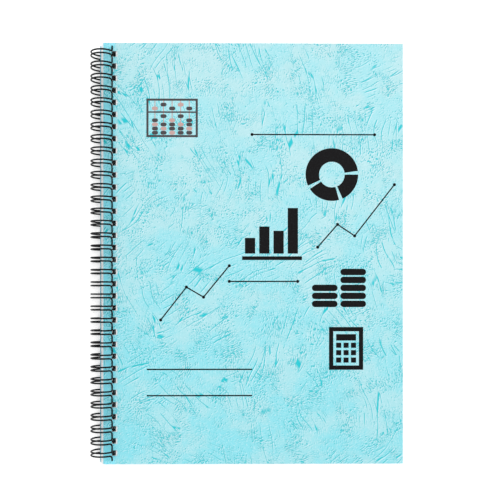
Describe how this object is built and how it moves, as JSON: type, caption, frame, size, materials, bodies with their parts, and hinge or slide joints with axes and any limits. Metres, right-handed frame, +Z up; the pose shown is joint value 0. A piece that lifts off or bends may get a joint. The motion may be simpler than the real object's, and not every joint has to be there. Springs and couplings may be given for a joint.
{
  "type": "account book",
  "caption": "Account book: punched paper leaves between turquoise card covers, bound by a black twin-loop wire on which the covers and leaves turn.",
  "frame": {"origin": "on the table under the middle of the closed book", "axes": "+Z up, +Y along the bound edge towards the head, +X from the bound edge to the fore edge"},
  "size_m": [0.2192, 0.295, 0.0169],
  "materials": {
    "covers": "smooth card printed with a turquoise leather-grain pattern",
    "leaves": "uncoated, ruled",
    "wire": "black nylon coating, satin"
  },
  "bodies": {
    "back_cover": {"back_cover": "covers"},
    "leaf_pack_8": {"leaf_pack_8": "leaves"},
    "leaf_pack_7": {"leaf_pack_7": "leaves"},
    "leaf_pack_6": {"leaf_pack_6": "leaves"},
    "leaf_pack_5": {"leaf_pack_5": "leaves"},
    "leaf_pack_4": {"leaf_pack_4": "leaves"},
    "leaf_pack_3": {"leaf_pack_3": "leaves"},
    "leaf_pack_2": {"leaf_pack_2": "leaves"},
    "leaf_pack_1": {"leaf_pack_1": "leaves"},
    "front_cover": {"front_cover": "covers"},
    "binding_wire": {"binding_wire": "wire"}
  },
  "joints": [
    {"name": "leaf_pack_8_turn", "type": "hinge", "parent": "back_cover", "child": "leaf_pack_8", "pos_m": [-0.10116, 0, 0.00856], "axis": [0, 1, 0], "range_deg": [-2, 0]},
    {"name": "leaf_pack_7_turn", "type": "hinge", "parent": "leaf_pack_8", "child": "leaf_pack_7", "pos_m": [-0.10116, 0, 0.00856], "axis": [0, 1, 0], "range_deg": [-2, 0]},
    {"name": "leaf_pack_6_turn", "type": "hinge", "parent": "leaf_pack_7", "child": "leaf_pack_6", "pos_m": [-0.10116, 0, 0.00856], "axis": [0, 1, 0], "range_deg": [-2, 0]},
    {"name": "leaf_pack_5_turn", "type": "hinge", "parent": "leaf_pack_6", "child": "leaf_pack_5", "pos_m": [-0.10116, 0, 0.00856], "axis": [0, 1, 0], "range_deg": [-2, 0]},
    {"name": "leaf_pack_4_turn", "type": "hinge", "parent": "leaf_pack_5", "child": "leaf_pack_4", "pos_m": [-0.10116, 0, 0.00856], "axis": [0, 1, 0], "range_deg": [-174, 0]},
    {"name": "leaf_pack_3_turn", "type": "hinge", "parent": "leaf_pack_4", "child": "leaf_pack_3", "pos_m": [-0.10116, 0, 0.00856], "axis": [0, -1, 0], "range_deg": [0, 2]},
    {"name": "leaf_pack_2_turn", "type": "hinge", "parent": "leaf_pack_3", "child": "leaf_pack_2", "pos_m": [-0.10116, 0, 0.00856], "axis": [0, -1, 0], "range_deg": [0, 2]},
    {"name": "leaf_pack_1_turn", "type": "hinge", "parent": "leaf_pack_2", "child": "leaf_pack_1", "pos_m": [-0.10116, 0, 0.00856], "axis": [0, -1, 0], "range_deg": [0, 2]},
    {"name": "front_cover_turn", "type": "hinge", "parent": "leaf_pack_1", "child": "front_cover", "pos_m": [-0.10116, 0, 0.00856], "axis": [0, -1, 0], "range_deg": [0, 176]},
    {"name": "binding_wire_turn", "type": "hinge", "parent": "front_cover", "child": "binding_wire", "pos_m": [-0.10116, 0, 0.00856], "axis": [0, -1, 0], "range_deg": [0, 240]}
  ]
}
